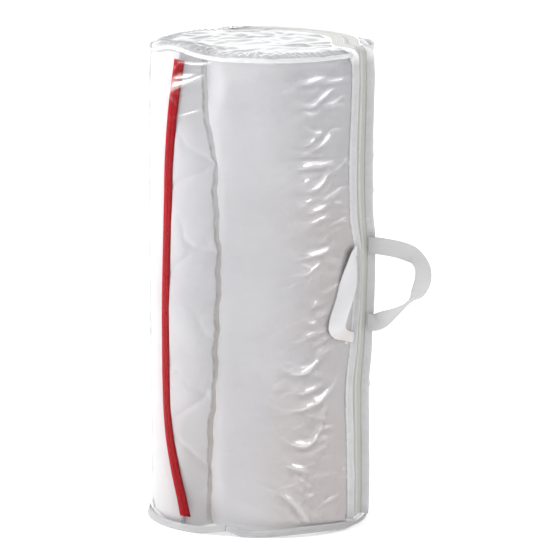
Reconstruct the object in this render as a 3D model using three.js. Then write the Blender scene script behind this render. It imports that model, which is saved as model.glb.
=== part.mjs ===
// A roll-up travel mattress, standing on end in its clear, zipped carry bag.
// Lengths are millimetres and +Z is up. The origin is the middle of the foot.
// Angles are degrees round the roll, from its front (-Y) towards its right (+X).

import * as THREE from 'three';

const { degToRad, lerp, radToDeg } = THREE.MathUtils;

// Driving sizes
const MATTRESS_WIDTH = 700; // the rolled mattress stands this high
const LAYER = 42; // one turn of the mattress, squeezed by the bag
const FILM = 1.2; // the bag's clear sheet
const SEAT = 0.3; // gap between pieces that touch
const ROOM = 0.5; // and between curved ones
const ROLL_ROOM = 5.8; // between the roll and the film round it

// Heights that follow
const ROLL_FOOT = FILM + SEAT;
const ROLL_TOP = ROLL_FOOT + MATTRESS_WIDTH;
const RIM_HEIGHT = 693; // the seam round the bag's top

// The bag's wall, as a radius at each height, without its flat
const WALL_PROFILE = [
  { height: 0, radius: 155.5 },
  { height: 10, radius: 158.5 },
  { height: 26, radius: 160.5 },
  { height: 110, radius: 161.5 },
  { height: 230, radius: 163.5 },
  { height: 350, radius: 165.5 },
  { height: 640, radius: 165.5 },
  { height: 676, radius: 164.5 },
  { height: 710, radius: 161 },
];

// The wall is pulled flat where it bridges the mattress's loose end
const FLAT_DEPTH = 10;
const FLAT_ANGLE = -17;
const FLAT_HALF_TURN = 38;
const FLAT_FADE = 0.7; // share of the flat that is gone at the foot and the rim

// The mattress's loose end: its red zip, and the edge where it stops
const FLAP_LINES = [
  { share: 0, zip: -43.5, edge: -42.5 },
  { share: 0.06, zip: -47.5, edge: -40.8 },
  { share: 0.12, zip: -53.2, edge: -40.1 },
  { share: 0.19, zip: -58.7, edge: -39.1 },
  { share: 0.27, zip: -61.2, edge: -36.2 },
  { share: 0.41, zip: -61.1, edge: -33.3 },
  { share: 0.55, zip: -59.7, edge: -31.3 },
  { share: 0.7, zip: -57.9, edge: -34.2 },
  { share: 0.77, zip: -57.3, edge: -35 },
  { share: 0.87, zip: -54.2, edge: -42.2 },
  { share: 0.95, zip: -49.7, edge: -44.5 },
  { share: 1, zip: -48, edge: -45.5 },
];
const FLAP_DROP = 36; // how far the end face falls from the zip to the edge
const FLAP_PUFF = 1.5; // power of that fall: above 1 is plump
const EDGE_TURN = 2.2; // the edge itself drops to the next layer within this
const EASE_TURN = 75; // and that layer swells back to full size over this

// How the zipped band wanders round the bag, in degrees
const BAND_ANGLE = 60.4;
const BAND_WAVE = [
  { share: 0, turn: 1.5 },
  { share: 0.16, turn: 0 },
  { share: 0.3, turn: -2.3 },
  { share: 0.39, turn: 0.6 },
  { share: 0.58, turn: 2.8 },
  { share: 0.66, turn: -0.8 },
  { share: 0.76, turn: -1.9 },
  { share: 0.9, turn: -0.4 },
  { share: 1, turn: 0.6 },
];
const BAND_FOOT = 15;
const BAND_TAPE_HALF = 18.6;
const BAND_SEAM = 19.1; // each side seam, from the band's middle
const BAND_EDGE = 19.6; // and the film's edge beyond it

// Bound seams stand out of the bag as fins
const FIN_THICKNESS = 3;
const FIN_HEIGHT = 10;

// Materials
const cloth = (color, roughness, metalness = 0) =>
  new THREE.MeshStandardMaterial({ color, roughness, metalness });
const coverCloth = cloth('#ecebea', 0.85);
const redTape = cloth('#c0202e', 0.6);
const redCoil = cloth('#9c101f', 0.4);
const clearFilm = new THREE.MeshStandardMaterial({
  color: '#f4f6f8',
  roughness: 0.12,
  transparent: true,
  opacity: 0.25,
});
const whiteTape = cloth('#e6e6e2', 0.7);
const whiteCoil = cloth('#dededa', 0.35);
const whiteBinding = cloth('#f6f6f6', 0.6);
const whiteWebbing = cloth('#ededea', 0.75);
const zipMetal = cloth('#b9bcc0', 0.3, 1);

// Reads a column of a table at x: a smooth curve through its rows
function valueAt(table, key, column, x) {
  const last = table.length - 1;
  const clamped = Math.min(Math.max(x, table[0][key]), table[last][key]);
  let i = 0;
  while (i < last - 1 && clamped > table[i + 1][key]) i += 1;
  const slope = (k) => {
    const a = table[Math.max(k - 1, 0)];
    const b = table[Math.min(k + 1, last)];
    return (b[column] - a[column]) / (b[key] - a[key]);
  };
  const from = table[i];
  const to = table[i + 1];
  const span = to[key] - from[key];
  const t = (clamped - from[key]) / span;
  const t2 = t * t;
  const t3 = t2 * t;
  return (
    (2 * t3 - 3 * t2 + 1) * from[column] +
    (t3 - 2 * t2 + t) * span * slope(i) +
    (3 * t2 - 2 * t3) * to[column] +
    (t3 - t2) * span * slope(i + 1)
  );
}

const shareOf = (height) => (height - ROLL_FOOT) / MATTRESS_WIDTH;
const ease = (t) => {
  const c = Math.min(Math.max(t, 0), 1);
  return c * c * (3 - 2 * c);
};
// An angle as one within half a turn of 0
const wrapped = (angle) => ((((angle + 180) % 360) + 360) % 360) - 180;

function around(angle, radius, height) {
  const a = degToRad(angle);
  return new THREE.Vector3(radius * Math.sin(a), -radius * Math.cos(a), height);
}
const outward = (angle) => around(angle, 1, 0);
const UP = new THREE.Vector3(0, 0, 1);

// The bag's outer face, with the flat at the loose end
function wallRadius(angle, height) {
  const off = Math.abs(wrapped(angle - FLAT_ANGLE)) / FLAT_HALF_TURN;
  const bell = off < 1 ? Math.cos((off * Math.PI) / 2) ** 2 : 0;
  const fade = 1 - FLAT_FADE * Math.abs(2 * shareOf(height) - 1) ** 4;
  return valueAt(WALL_PROFILE, 'height', 'radius', height) - FLAT_DEPTH * bell * fade;
}

// How far the mattress lies below a full round at an angle
function flapDip(angle, share) {
  const a = wrapped(angle);
  const zip = valueAt(FLAP_LINES, 'share', 'zip', share);
  const edge = valueAt(FLAP_LINES, 'share', 'edge', share);
  if (a <= zip) return 0;
  if (a <= edge) return FLAP_DROP * ((a - zip) / (edge - zip)) ** FLAP_PUFF;
  if (a <= edge + EDGE_TURN) return lerp(FLAP_DROP, LAYER, ease((a - edge) / EDGE_TURN));
  return LAYER * (1 - ease((a - edge - EDGE_TURN) / EASE_TURN));
}

function rollRadius(angle, height) {
  const full = valueAt(WALL_PROFILE, 'height', 'radius', height);
  return full - FILM - ROLL_ROOM - flapDip(angle, shareOf(height));
}

// Joins rows of points into one closed solid. Each row is a ring of the same
// length. End rows are closed by a fan to a point in the middle.
function solidOfRings(rings) {
  const n = rings[0].length;
  const points = rings.flat();
  const faces = [];
  for (let j = 0; j < rings.length - 1; j += 1) {
    for (let i = 0; i < n; i += 1) {
      const a = j * n + i;
      const b = j * n + ((i + 1) % n);
      faces.push([a, b, b + n], [a, b + n, a + n]);
    }
  }
  const fan = (start, flip) => {
    const middle = new THREE.Vector3();
    for (let i = 0; i < n; i += 1) middle.addScaledVector(points[start + i], 1 / n);
    points.push(middle);
    for (let i = 0; i < n; i += 1) {
      const a = start + i;
      const b = start + ((i + 1) % n);
      faces.push(flip ? [b, a, points.length - 1] : [a, b, points.length - 1]);
    }
  };
  fan(0, true);
  fan((rings.length - 1) * n, false);
  return closedGeometry(points, faces);
}

// A sheet between two grids of points, its front and its back
function solidOfSheet(front, back) {
  const rows = front.length;
  const columns = front[0].length;
  const points = [...front.flat(), ...back.flat()];
  const shift = rows * columns;
  const at = (j, i) => j * columns + i;
  const faces = [];
  for (let j = 0; j < rows - 1; j += 1) {
    for (let i = 0; i < columns - 1; i += 1) {
      const [a, b, c, d] = [at(j, i), at(j, i + 1), at(j + 1, i + 1), at(j + 1, i)];
      faces.push([a, b, c], [a, c, d]);
      faces.push([a + shift, c + shift, b + shift], [a + shift, d + shift, c + shift]);
    }
  }
  const border = [];
  for (let i = 0; i < columns - 1; i += 1) border.push(at(0, i));
  for (let j = 0; j < rows - 1; j += 1) border.push(at(j, columns - 1));
  for (let i = columns - 1; i > 0; i -= 1) border.push(at(rows - 1, i));
  for (let j = rows - 1; j > 0; j -= 1) border.push(at(j, 0));
  border.forEach((a, k) => {
    const b = border[(k + 1) % border.length];
    faces.push([a, a + shift, b + shift], [a, b + shift, b]);
  });
  return closedGeometry(points, faces);
}

// An indexed geometry with its faces turned outwards
function closedGeometry(points, faces) {
  const volume = faces.reduce((sum, [a, b, c]) => {
    const normal = new THREE.Vector3().crossVectors(points[b], points[c]);
    return sum + points[a].dot(normal);
  }, 0);
  const turned = volume < 0 ? faces.map(([a, b, c]) => [a, c, b]) : faces;
  const geometry = new THREE.BufferGeometry().setFromPoints(points);
  geometry.setIndex(turned.flat());
  geometry.computeVertexNormals();
  return geometry;
}

// A bar of rectangular section along stations. Each station has a point, the
// direction across the bar (side) and the direction of its height (rise).
function bar(stations, width, height) {
  const corners = [
    [-1, -1],
    [1, -1],
    [1, 1],
    [-1, 1],
  ];
  return solidOfRings(
    stations.map(({ point, side, rise, scale = 1 }) =>
      corners.map(([s, r]) =>
        point
          .clone()
          .addScaledVector(side, (s * width) / 2)
          .addScaledVector(rise, (r * height * scale) / 2),
      ),
    ),
  );
}

const part = new THREE.Group();
function add(name, geometry, material) {
  const mesh = new THREE.Mesh(geometry, material);
  mesh.name = name;
  part.add(mesh);
  return mesh;
}

// The rolled mattress: one solid, with the loose end and the wound top
const ROLL_RIM = 22; // rounding of the roll's upper edge
const FLAP_STEPS = 4;
const ROLL_STEPS = 30;
const TOP_RINGS = 13;
const VALLEY = 9; // depth of the groove between turns at the top
const VALLEY_HALF = 12;
const ROLL_HEIGHTS = [
  ROLL_FOOT, 8, 20, 45, 75, 105, 135, 170, 220, 290, 360, 430, 500, 560, 610, 650,
  ROLL_TOP - ROLL_RIM,
];

function rollAngles(height) {
  const share = shareOf(height);
  const zip = valueAt(FLAP_LINES, 'share', 'zip', share);
  const edge = valueAt(FLAP_LINES, 'share', 'edge', share);
  const foot = edge + EDGE_TURN;
  const angles = [];
  for (let i = 0; i <= FLAP_STEPS; i += 1) angles.push(lerp(zip, edge, i / FLAP_STEPS));
  for (let i = 0; i < ROLL_STEPS; i += 1) {
    angles.push(lerp(foot, zip + 360, i / ROLL_STEPS));
  }
  return angles;
}

// Depth of the groove between turns, at a distance below the full round
function valleyAt(depth, angle) {
  const edge = valueAt(FLAP_LINES, 'share', 'edge', 1);
  const a = wrapped(angle);
  const wound = a > edge ? LAYER * (1 - ease((a - edge - EDGE_TURN) / EASE_TURN)) : 0;
  const turns = (depth - wound) / LAYER;
  const off = Math.abs(turns - Math.max(Math.round(turns), 1)) * LAYER;
  return VALLEY * Math.max(0, 1 - off / VALLEY_HALF) ** 2;
}

function mattressRoll() {
  const rings = ROLL_HEIGHTS.map((height) =>
    rollAngles(height).map((angle) => around(angle, rollRadius(angle, height), height)),
  );
  const shoulder = ROLL_TOP - ROLL_RIM;
  const angles = rollAngles(shoulder);
  for (const lift of [22.5, 45, 67.5, 90]) {
    const inset = ROLL_RIM * (1 - Math.cos(degToRad(lift)));
    const height = shoulder + ROLL_RIM * Math.sin(degToRad(lift));
    rings.push(
      angles.map((angle) => around(angle, rollRadius(angle, shoulder) - inset, height)),
    );
  }
  const full = valueAt(WALL_PROFILE, 'height', 'radius', shoulder) - FILM - ROLL_ROOM;
  for (let k = 1; k <= TOP_RINGS; k += 1) {
    rings.push(
      angles.map((angle) => {
        const rim = rollRadius(angle, shoulder) - ROLL_RIM;
        const radius = rim * (1 - k / (TOP_RINGS + 1));
        return around(angle, radius, ROLL_TOP - valleyAt(full - radius, angle));
      }),
    );
  }
  return solidOfRings(rings);
}
add('mattress_roll', mattressRoll(), coverCloth);

// The red zip of the mattress cover: its tape, coil, slider and puller
const COVER_ZIP = { tape: 16, tapeThick: 1, coil: 6, coilThick: 1.3, foot: 20 };

const zipAngle = (height) => valueAt(FLAP_LINES, 'share', 'zip', shareOf(height));
const zipRadius = (height) => rollRadius(zipAngle(height), height);

function coverZipStations(lift) {
  const heights = ROLL_HEIGHTS.filter((height) => height >= COVER_ZIP.foot);
  return heights.map((height) => ({
    point: around(zipAngle(height), zipRadius(height) + lift, height),
    side: outward(zipAngle(height) + 90),
    rise: outward(zipAngle(height)),
  }));
}
const coverTapeLift = ROOM + COVER_ZIP.tapeThick / 2;
const coverCoilLift = ROOM * 2 + COVER_ZIP.tapeThick + COVER_ZIP.coilThick / 2;
add(
  'cover_zip_tape',
  bar(coverZipStations(coverTapeLift), COVER_ZIP.tape, COVER_ZIP.tapeThick),
  redTape,
);
add(
  'cover_zip_coil',
  bar(coverZipStations(coverCoilLift), COVER_ZIP.coil, COVER_ZIP.coilThick),
  redCoil,
);

// A small plate with round ends, lying in XY, and its slot if it has one
function plate(length, width, thickness, slot) {
  const outline = (shape, l, w) => {
    const straight = (l - w) / 2;
    shape.absarc(0, straight, w / 2, 0, Math.PI, false);
    shape.absarc(0, -straight, w / 2, Math.PI, 2 * Math.PI, false);
    return shape;
  };
  const shape = outline(new THREE.Shape(), length, width);
  if (slot) shape.holes.push(outline(new THREE.Path(), slot.length, slot.width));
  return new THREE.ExtrudeGeometry(shape, {
    depth: thickness,
    bevelEnabled: false,
    curveSegments: 6,
  });
}

// Lays a plate on a wall that has radiusAt(height): its length up the wall, its
// underside lifted clear of it, turned by roll in the wall's own plane
function layPlate(mesh, { angle, height, length, radiusAt, lift, roll = 0 }) {
  const foot = around(angle, radiusAt(height - length / 2), height - length / 2);
  const head = around(angle, radiusAt(height + length / 2), height + length / 2);
  const up = head.clone().sub(foot).normalize();
  const side = outward(angle + 90);
  const out = side.clone().cross(up);
  mesh.quaternion.setFromRotationMatrix(new THREE.Matrix4().makeBasis(side, up, out));
  mesh.rotateZ(degToRad(roll));
  const middle = around(angle, radiusAt(height), height);
  mesh.position.copy(middle.addScaledVector(out, lift));
}

const SLIDER = { length: 9, width: 8, thick: 1.8 };
const PULLER = { length: 14, width: 5, thick: 0.9, slot: { length: 6, width: 2 } };
{
  const height = COVER_ZIP.foot - SLIDER.length / 2 - SEAT;
  const angle = zipAngle(height);
  const { length } = SLIDER;
  const slider = add(
    'cover_zip_slider',
    plate(length, SLIDER.width, SLIDER.thick, null),
    zipMetal,
  );
  layPlate(slider, { angle, height, length, radiusAt: zipRadius, lift: ROOM });

  const puller = add(
    'cover_zip_puller',
    plate(PULLER.length, PULLER.width, PULLER.thick, PULLER.slot),
    zipMetal,
  );
  layPlate(puller, {
    angle: angle - 1,
    height: height - 3,
    length: PULLER.length,
    radiusAt: zipRadius,
    lift: ROOM + SLIDER.thick + SEAT,
    roll: 4,
  });
}

// The zipped band of the bag: stations up the wall, over the rim and round the top
const TOP_FACE = ROLL_TOP + SEAT * 2 + FILM; // the top sheet's upper face
const RIM_ROUTE = [
  { angle: 61, radius: 163.2, height: 690, tilt: 4 },
  { angle: 61.2, radius: 162.2, height: 696.5, tilt: 22 },
  { angle: 61.4, radius: 159, height: 701.2, tilt: 50 },
  { angle: 61.8, radius: 153, height: 704.2, tilt: 76 },
  { angle: 62.8, radius: 145, height: 704.6, tilt: 90 },
  { angle: 68, radius: 133, height: 704.2, tilt: 90 },
  { angle: 77, radius: 125, height: 704.2, tilt: 90 },
  { angle: 90, radius: 122, height: 704.2, tilt: 90 },
];
const TOP_ARC = { end: 205, step: 11.5, radius: 121, height: 704.2 };
const BAND_HEIGHTS = [
  BAND_FOOT, 60, 105, 150, 190, 225, 265, 310, 360, 410, 460, 520, 580, 640, 680,
];

function bandAngle(height) {
  return BAND_ANGLE + valueAt(BAND_WAVE, 'share', 'turn', shareOf(height));
}

// The band's surface at an offset from its middle, as points with normals
function bandSurface(offset, wallInset) {
  const wall = BAND_HEIGHTS.map((height) => {
    const middle = bandAngle(height);
    const radius = wallRadius(middle, height) - wallInset;
    const angle = middle + radToDeg(offset / radius);
    return { point: around(angle, radius, height), normal: outward(angle) };
  });
  const route = [...RIM_ROUTE];
  for (let angle = 90 + TOP_ARC.step; angle <= TOP_ARC.end; angle += TOP_ARC.step) {
    route.push({ angle, radius: TOP_ARC.radius, height: TOP_ARC.height, tilt: 90 });
  }
  const middle = route.map(({ angle, radius, height }) => around(angle, radius, height));
  const over = route.map(({ angle, tilt }, k) => {
    const before = middle[Math.max(k - 1, 0)];
    const after = middle[Math.min(k + 1, middle.length - 1)];
    const along = after.clone().sub(before).normalize();
    const normal = outward(angle)
      .multiplyScalar(Math.cos(degToRad(tilt)))
      .addScaledVector(UP, Math.sin(degToRad(tilt)));
    const side = along.clone().cross(normal).normalize();
    const lift = normal.clone().cross(side).dot(along) < 0 ? -1 : 1;
    return {
      point: middle[k].clone().addScaledVector(side, offset * lift),
      normal: side.clone().cross(along).multiplyScalar(lift).normalize(),
    };
  });
  return [...wall, ...over];
}

// Stations of a bar along the band at an offset, standing on the tape. Past the
// rim it sinks to a share of its height.
const WALL_ROWS = BAND_HEIGHTS.length;
const SINK_ROWS = 3;
function alongBand(offset, height, topShare) {
  const rail = bandSurface(offset, FILM / 2);
  return rail.map(({ point, normal }, k) => {
    const before = rail[Math.max(k - 1, 0)].point;
    const after = rail[Math.min(k + 1, rail.length - 1)].point;
    const along = after.clone().sub(before).normalize();
    const side = along.clone().cross(normal).normalize();
    const rise = side.clone().cross(along).normalize();
    const scale = lerp(1, topShare, ease((k - WALL_ROWS + 1) / SINK_ROWS));
    const lift = FILM / 2 + ROOM + (height * scale) / 2;
    return { point: point.clone().addScaledVector(rise, lift), side, rise, scale };
  });
}

const TAPE_COLUMNS = [-1, -0.5, 0, 0.5, 1].map((share) => share * BAND_TAPE_HALF);
function bandTape() {
  const columns = TAPE_COLUMNS.map((offset) => bandSurface(offset, FILM / 2));
  const face = (sign) =>
    columns[0].map((_, j) =>
      columns.map((column) =>
        column[j].point.clone().addScaledVector(column[j].normal, (sign * FILM) / 2),
      ),
    );
  return solidOfSheet(face(1), face(-1));
}
const BAND_COIL = { width: 6.5, thick: 1.8 };
const FIN_TOP_SHARE = 0.35; // the fins lie over where the band crosses the top
add('bag_zip_tape', bandTape(), whiteTape);
add(
  'bag_zip_coil',
  bar(alongBand(0, BAND_COIL.thick, 1), BAND_COIL.width, BAND_COIL.thick),
  whiteCoil,
);
add(
  'binding_front_seam',
  bar(alongBand(-BAND_SEAM, FIN_HEIGHT, FIN_TOP_SHARE), FIN_THICKNESS, FIN_HEIGHT),
  whiteBinding,
);
add(
  'binding_rear_seam',
  bar(alongBand(BAND_SEAM, FIN_HEIGHT, FIN_TOP_SHARE), FIN_THICKNESS, FIN_HEIGHT),
  whiteBinding,
);

// The bag's slider, parked at the band's far end on top, with its puller laid back
const PARKED = 200; // its angle round the top
const BAG_PULLER = { length: 26, back: 4 }; // back in degrees round the top
{
  const coilTop = TOP_ARC.height + FILM / 2 + ROOM + BAND_COIL.thick;
  const layOnTop = (mesh, angle, height) => {
    mesh.rotation.z = degToRad(PARKED - 90);
    mesh.position.copy(around(angle, TOP_ARC.radius, height));
  };
  const slider = add(
    'bag_zip_slider',
    plate(SLIDER.length + 2, SLIDER.width, SLIDER.thick, null),
    zipMetal,
  );
  layOnTop(slider, PARKED, coilTop + SEAT);

  const puller = add(
    'bag_zip_puller',
    plate(BAG_PULLER.length, PULLER.width, PULLER.thick, PULLER.slot),
    zipMetal,
  );
  layOnTop(puller, PARKED - BAG_PULLER.back, coilTop + SLIDER.thick + SEAT * 2);
}

// The wrap: one clear sheet from the rear seam round the back to the front seam
const WRAP_STEPS = 38;
const WRAP_HEIGHTS = [FILM + SEAT, ...BAND_HEIGHTS, RIM_HEIGHT - SEAT];
function wrapSheet() {
  const face = (inset) =>
    WRAP_HEIGHTS.map((height) => {
      const middle = bandAngle(height);
      const turn = radToDeg(BAND_EDGE / wallRadius(middle, height));
      const row = [];
      for (let i = 0; i <= WRAP_STEPS; i += 1) {
        const angle = lerp(middle + turn, middle - turn + 360, i / WRAP_STEPS);
        row.push(around(angle, wallRadius(angle, height) - inset, height));
      }
      return row;
    });
  return solidOfSheet(face(0), face(FILM));
}
add('bag_wrap', wrapSheet(), clearFilm);

// The clear ends. The top sheet turns down to the rim seam; the foot is flat.
const END_STEPS = 40;
const SHOULDER = 145; // the top sheet is flat inside this radius
const SHOULDER_DROP = 9;

function topSheet() {
  const ring = (radius, height) => {
    const points = [];
    for (let i = 0; i < END_STEPS; i += 1) {
      const angle = (360 / END_STEPS) * i;
      const reach = wallRadius(angle, RIM_HEIGHT) / wallRadius(180, RIM_HEIGHT);
      points.push(around(angle, radius * reach, height));
    }
    return points;
  };
  const rim = wallRadius(180, RIM_HEIGHT) - FILM - SEAT * 2;
  const fall = (radius) =>
    SHOULDER_DROP * (Math.max(radius - SHOULDER, 0) / (rim - SHOULDER)) ** 2;
  const radii = [60, 115, SHOULDER, lerp(SHOULDER, rim, 0.4), lerp(SHOULDER, rim, 0.75), rim];
  const upper = radii.map((radius) => ring(radius, TOP_FACE - fall(radius)));
  const lower = radii.map((radius) => ring(radius, TOP_FACE - FILM - fall(radius)));
  return solidOfRings([...lower, ...upper.reverse()]);
}
add('bag_top', topSheet(), clearFilm);

const baseRadius = valueAt(WALL_PROFILE, 'height', 'radius', 0) - SEAT;
function baseSheet() {
  const ring = (height) => {
    const points = [];
    for (let i = 0; i < END_STEPS; i += 1) {
      const angle = (360 / END_STEPS) * i;
      const flat = wallRadius(180, 0) - wallRadius(angle, 0);
      points.push(around(angle, baseRadius - flat, height));
    }
    return points;
  };
  return solidOfRings([ring(0), ring(FILM)]);
}
add('bag_base', baseSheet(), clearFilm);

// Bound seams round the rim: a short one in front and a long one behind
const RIM_TILT = 84;
const RIM_SEAM_STEP = 8;
const EAR = { angle: 84, turn: 12, rise: 0.3 }; // the corner that sticks up

function rimFin(from, to) {
  const steps = Math.max(2, Math.round((to - from) / RIM_SEAM_STEP));
  const stations = [];
  for (let i = 0; i <= steps; i += 1) {
    const angle = lerp(from, to, i / steps);
    const out = outward(angle);
    const rise = out
      .clone()
      .multiplyScalar(Math.cos(degToRad(RIM_TILT)))
      .addScaledVector(UP, Math.sin(degToRad(RIM_TILT)));
    const across = out
      .clone()
      .multiplyScalar(-Math.sin(degToRad(RIM_TILT)))
      .addScaledVector(UP, Math.cos(degToRad(RIM_TILT)));
    const scale = 1 + EAR.rise * Math.exp(-(((angle - EAR.angle) / EAR.turn) ** 2));
    const root = around(angle, wallRadius(angle, RIM_HEIGHT) + SEAT, RIM_HEIGHT + SEAT);
    const middle = root.addScaledVector(rise, (FIN_HEIGHT * scale) / 2);
    stations.push({ point: middle, side: across, rise, scale });
  }
  return bar(stations, FIN_THICKNESS, FIN_HEIGHT);
}
const rimBand = bandAngle(RIM_HEIGHT);
const FIN_TURN = radToDeg((BAND_SEAM + FIN_THICKNESS + 1) / wallRadius(rimBand, RIM_HEIGHT));
const RIM_JOIN = -42; // where the two rim bindings meet, over the loose end
add('binding_rim_front', rimFin(RIM_JOIN, rimBand - FIN_TURN), whiteBinding);
add(
  'binding_rim_rear',
  rimFin(rimBand + FIN_TURN, RIM_JOIN + 360 - 0.3),
  whiteBinding,
);

// The bound seam round the foot hangs to the floor. Its ends lift and meet in front.
const BASE_FIN = { height: 12, lean: 15, joint: -17, lift: 7, leftTurn: 10, rightTurn: 5 };
const BASE_FIN_TOP = 12.2;
function baseFin() {
  const steps = 48;
  const stations = [];
  const lean = degToRad(BASE_FIN.lean);
  for (let i = 0; i <= steps; i += 1) {
    const t = i / steps;
    const angle = BASE_FIN.joint + lerp(0.3, 359.7, t + 0.04 * Math.sin(2 * Math.PI * t) * -1);
    const off = wrapped(angle - BASE_FIN.joint);
    const turn = off < 0 ? BASE_FIN.leftTurn : BASE_FIN.rightTurn;
    const lift = BASE_FIN.lift * Math.exp(-((off / turn) ** 2));
    const out = outward(angle);
    const rise = out
      .clone()
      .multiplyScalar(-Math.sin(lean))
      .addScaledVector(UP, Math.cos(lean));
    const across = out
      .clone()
      .multiplyScalar(Math.cos(lean))
      .addScaledVector(UP, Math.sin(lean));
    const head = wallRadius(angle, BASE_FIN_TOP + lift) + FIN_THICKNESS / 2 + ROOM;
    const top = around(angle, head, BASE_FIN_TOP + lift);
    const middle = top.addScaledVector(rise, -BASE_FIN.height / 2);
    stations.push({ point: middle, side: across, rise });
  }
  return bar(stations, FIN_THICKNESS, BASE_FIN.height);
}
add('binding_base', baseFin(), whiteBinding);

// The two carrying handles. A row is a point of the webbing's middle line and
// the direction across the webbing there.
const WEBBING = { width: 24, thick: 1.6, steps: 40 };
const HANDLE_FRONT = [
  { x: 139.4, y: -98.3, z: 412, across: [0, 0, 1] },
  { x: 137.3, y: -104, z: 412, across: [0, 0, 1] },
  { x: 134.3, y: -112.5, z: 408, across: [-0.2, -0.1, 0.95] },
  { x: 131.2, y: -119, z: 393.7, across: [-0.6, -0.3, 0.65] },
  { x: 126.2, y: -125.5, z: 367, across: [-0.93, -0.1, 0.28] },
  { x: 119.8, y: -131, z: 341.5, across: [-0.98, 0, 0.12] },
  { x: 114.2, y: -134.5, z: 320, across: [-1, 0, 0] },
  { x: 113, y: -134.5, z: 302.3, across: [-0.95, 0, -0.35] },
  { x: 119.6, y: -129, z: 290.9, across: [-0.55, 0, -0.83] },
  { x: 127, y: -119, z: 285, across: [-0.2, 0, -0.97] },
  { x: 132.2, y: -108.5, z: 282, across: [0, 0, -1] },
  { x: 135.2, y: -103.4, z: 282, across: [0, 0, -1] },
];
const HANDLE_REAR = [
  { x: 157.2, y: -65, z: 414.5, across: [0, 0, 1] },
  { x: 168, y: -69.5, z: 414.5, across: [0, 0, 1] },
  { x: 181, y: -73, z: 413.2, across: [0, 0, 1] },
  { x: 198, y: -76, z: 410.5, across: [0.1, 0, 1] },
  { x: 211, y: -79, z: 407, across: [0.25, 0.1, 0.96] },
  { x: 223, y: -81, z: 401.5, across: [0.5, 0.55, 0.67] },
  { x: 232, y: -83, z: 391.5, across: [0.85, 0.5, 0.15] },
  { x: 236, y: -85, z: 379, across: [0.93, 0.3, -0.2] },
  { x: 234.5, y: -86, z: 363, across: [0.95, 0.25, -0.15] },
  { x: 226.5, y: -85, z: 345, across: [0.85, 0.5, 0.1] },
  { x: 216, y: -83, z: 334, across: [0.4, 0.9, -0.1] },
  { x: 200, y: -80, z: 321.7, across: [0, 0.8, -0.6] },
  { x: 184, y: -77, z: 311, across: [0, 0.45, -0.9] },
  { x: 169, y: -71.5, z: 302, across: [0, 0, -1] },
  { x: 156.4, y: -66.8, z: 301.5, across: [0, 0, -1] },
];

function handle(rows) {
  const curve = (pick) => new THREE.CatmullRomCurve3(rows.map(pick), false, 'centripetal');
  const line = curve(({ x, y, z }) => new THREE.Vector3(x, y, z));
  const stations = [];
  for (let i = 0; i <= WEBBING.steps; i += 1) {
    const t = i / WEBBING.steps;
    const slot = Math.min(Math.floor(t * (rows.length - 1)), rows.length - 2);
    const share = t * (rows.length - 1) - slot;
    const from = new THREE.Vector3(...rows[slot].across);
    const to = new THREE.Vector3(...rows[slot + 1].across);
    const across = from.lerp(to, share);
    const along = line.getTangent(t);
    const side = across.addScaledVector(along, -across.dot(along)).normalize();
    const rise = along.clone().cross(side).normalize();
    stations.push({ point: line.getPoint(t), side, rise });
  }
  return bar(stations, WEBBING.width, WEBBING.thick);
}
add('handle_front', handle(HANDLE_FRONT), whiteWebbing);
add('handle_rear', handle(HANDLE_REAR), whiteWebbing);

export default part;
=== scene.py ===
import math

import bpy
import numpy as np
from mathutils import Matrix, Vector


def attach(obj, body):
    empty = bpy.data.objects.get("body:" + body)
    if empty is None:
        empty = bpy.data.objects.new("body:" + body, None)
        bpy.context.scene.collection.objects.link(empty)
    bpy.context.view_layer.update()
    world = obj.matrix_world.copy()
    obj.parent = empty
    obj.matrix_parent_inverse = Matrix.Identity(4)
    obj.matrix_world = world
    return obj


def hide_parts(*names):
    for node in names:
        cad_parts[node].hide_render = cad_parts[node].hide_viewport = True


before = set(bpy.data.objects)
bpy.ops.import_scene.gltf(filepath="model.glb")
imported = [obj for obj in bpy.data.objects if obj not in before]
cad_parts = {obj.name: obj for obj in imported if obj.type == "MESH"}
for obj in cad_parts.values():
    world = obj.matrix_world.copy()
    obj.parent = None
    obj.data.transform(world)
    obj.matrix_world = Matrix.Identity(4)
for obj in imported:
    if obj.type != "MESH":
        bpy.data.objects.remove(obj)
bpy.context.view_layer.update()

# Camera. A long lens from far off, just above the roll's top. The roll stands a
# little left of the picture's middle and leans in it by a hair.
EYE = Vector((0, -7.7, 1.78))
AIM = Vector((0.0215, 0, 0.3577))
LENS = 349.9
LEAN = math.radians(0.3)

camera = bpy.data.objects.new("camera", bpy.data.cameras.new("camera"))
camera.data.lens = LENS
camera.data.clip_end = 100
look = (AIM - EYE).to_track_quat("-Z", "Y").to_matrix().to_4x4()
camera.matrix_world = Matrix.Translation(EYE) @ look @ Matrix.Rotation(LEAN, 4, "Z")
bpy.context.collection.objects.link(camera)
bpy.context.scene.camera = camera
bpy.context.scene.view_settings.view_transform = "Standard"


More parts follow.
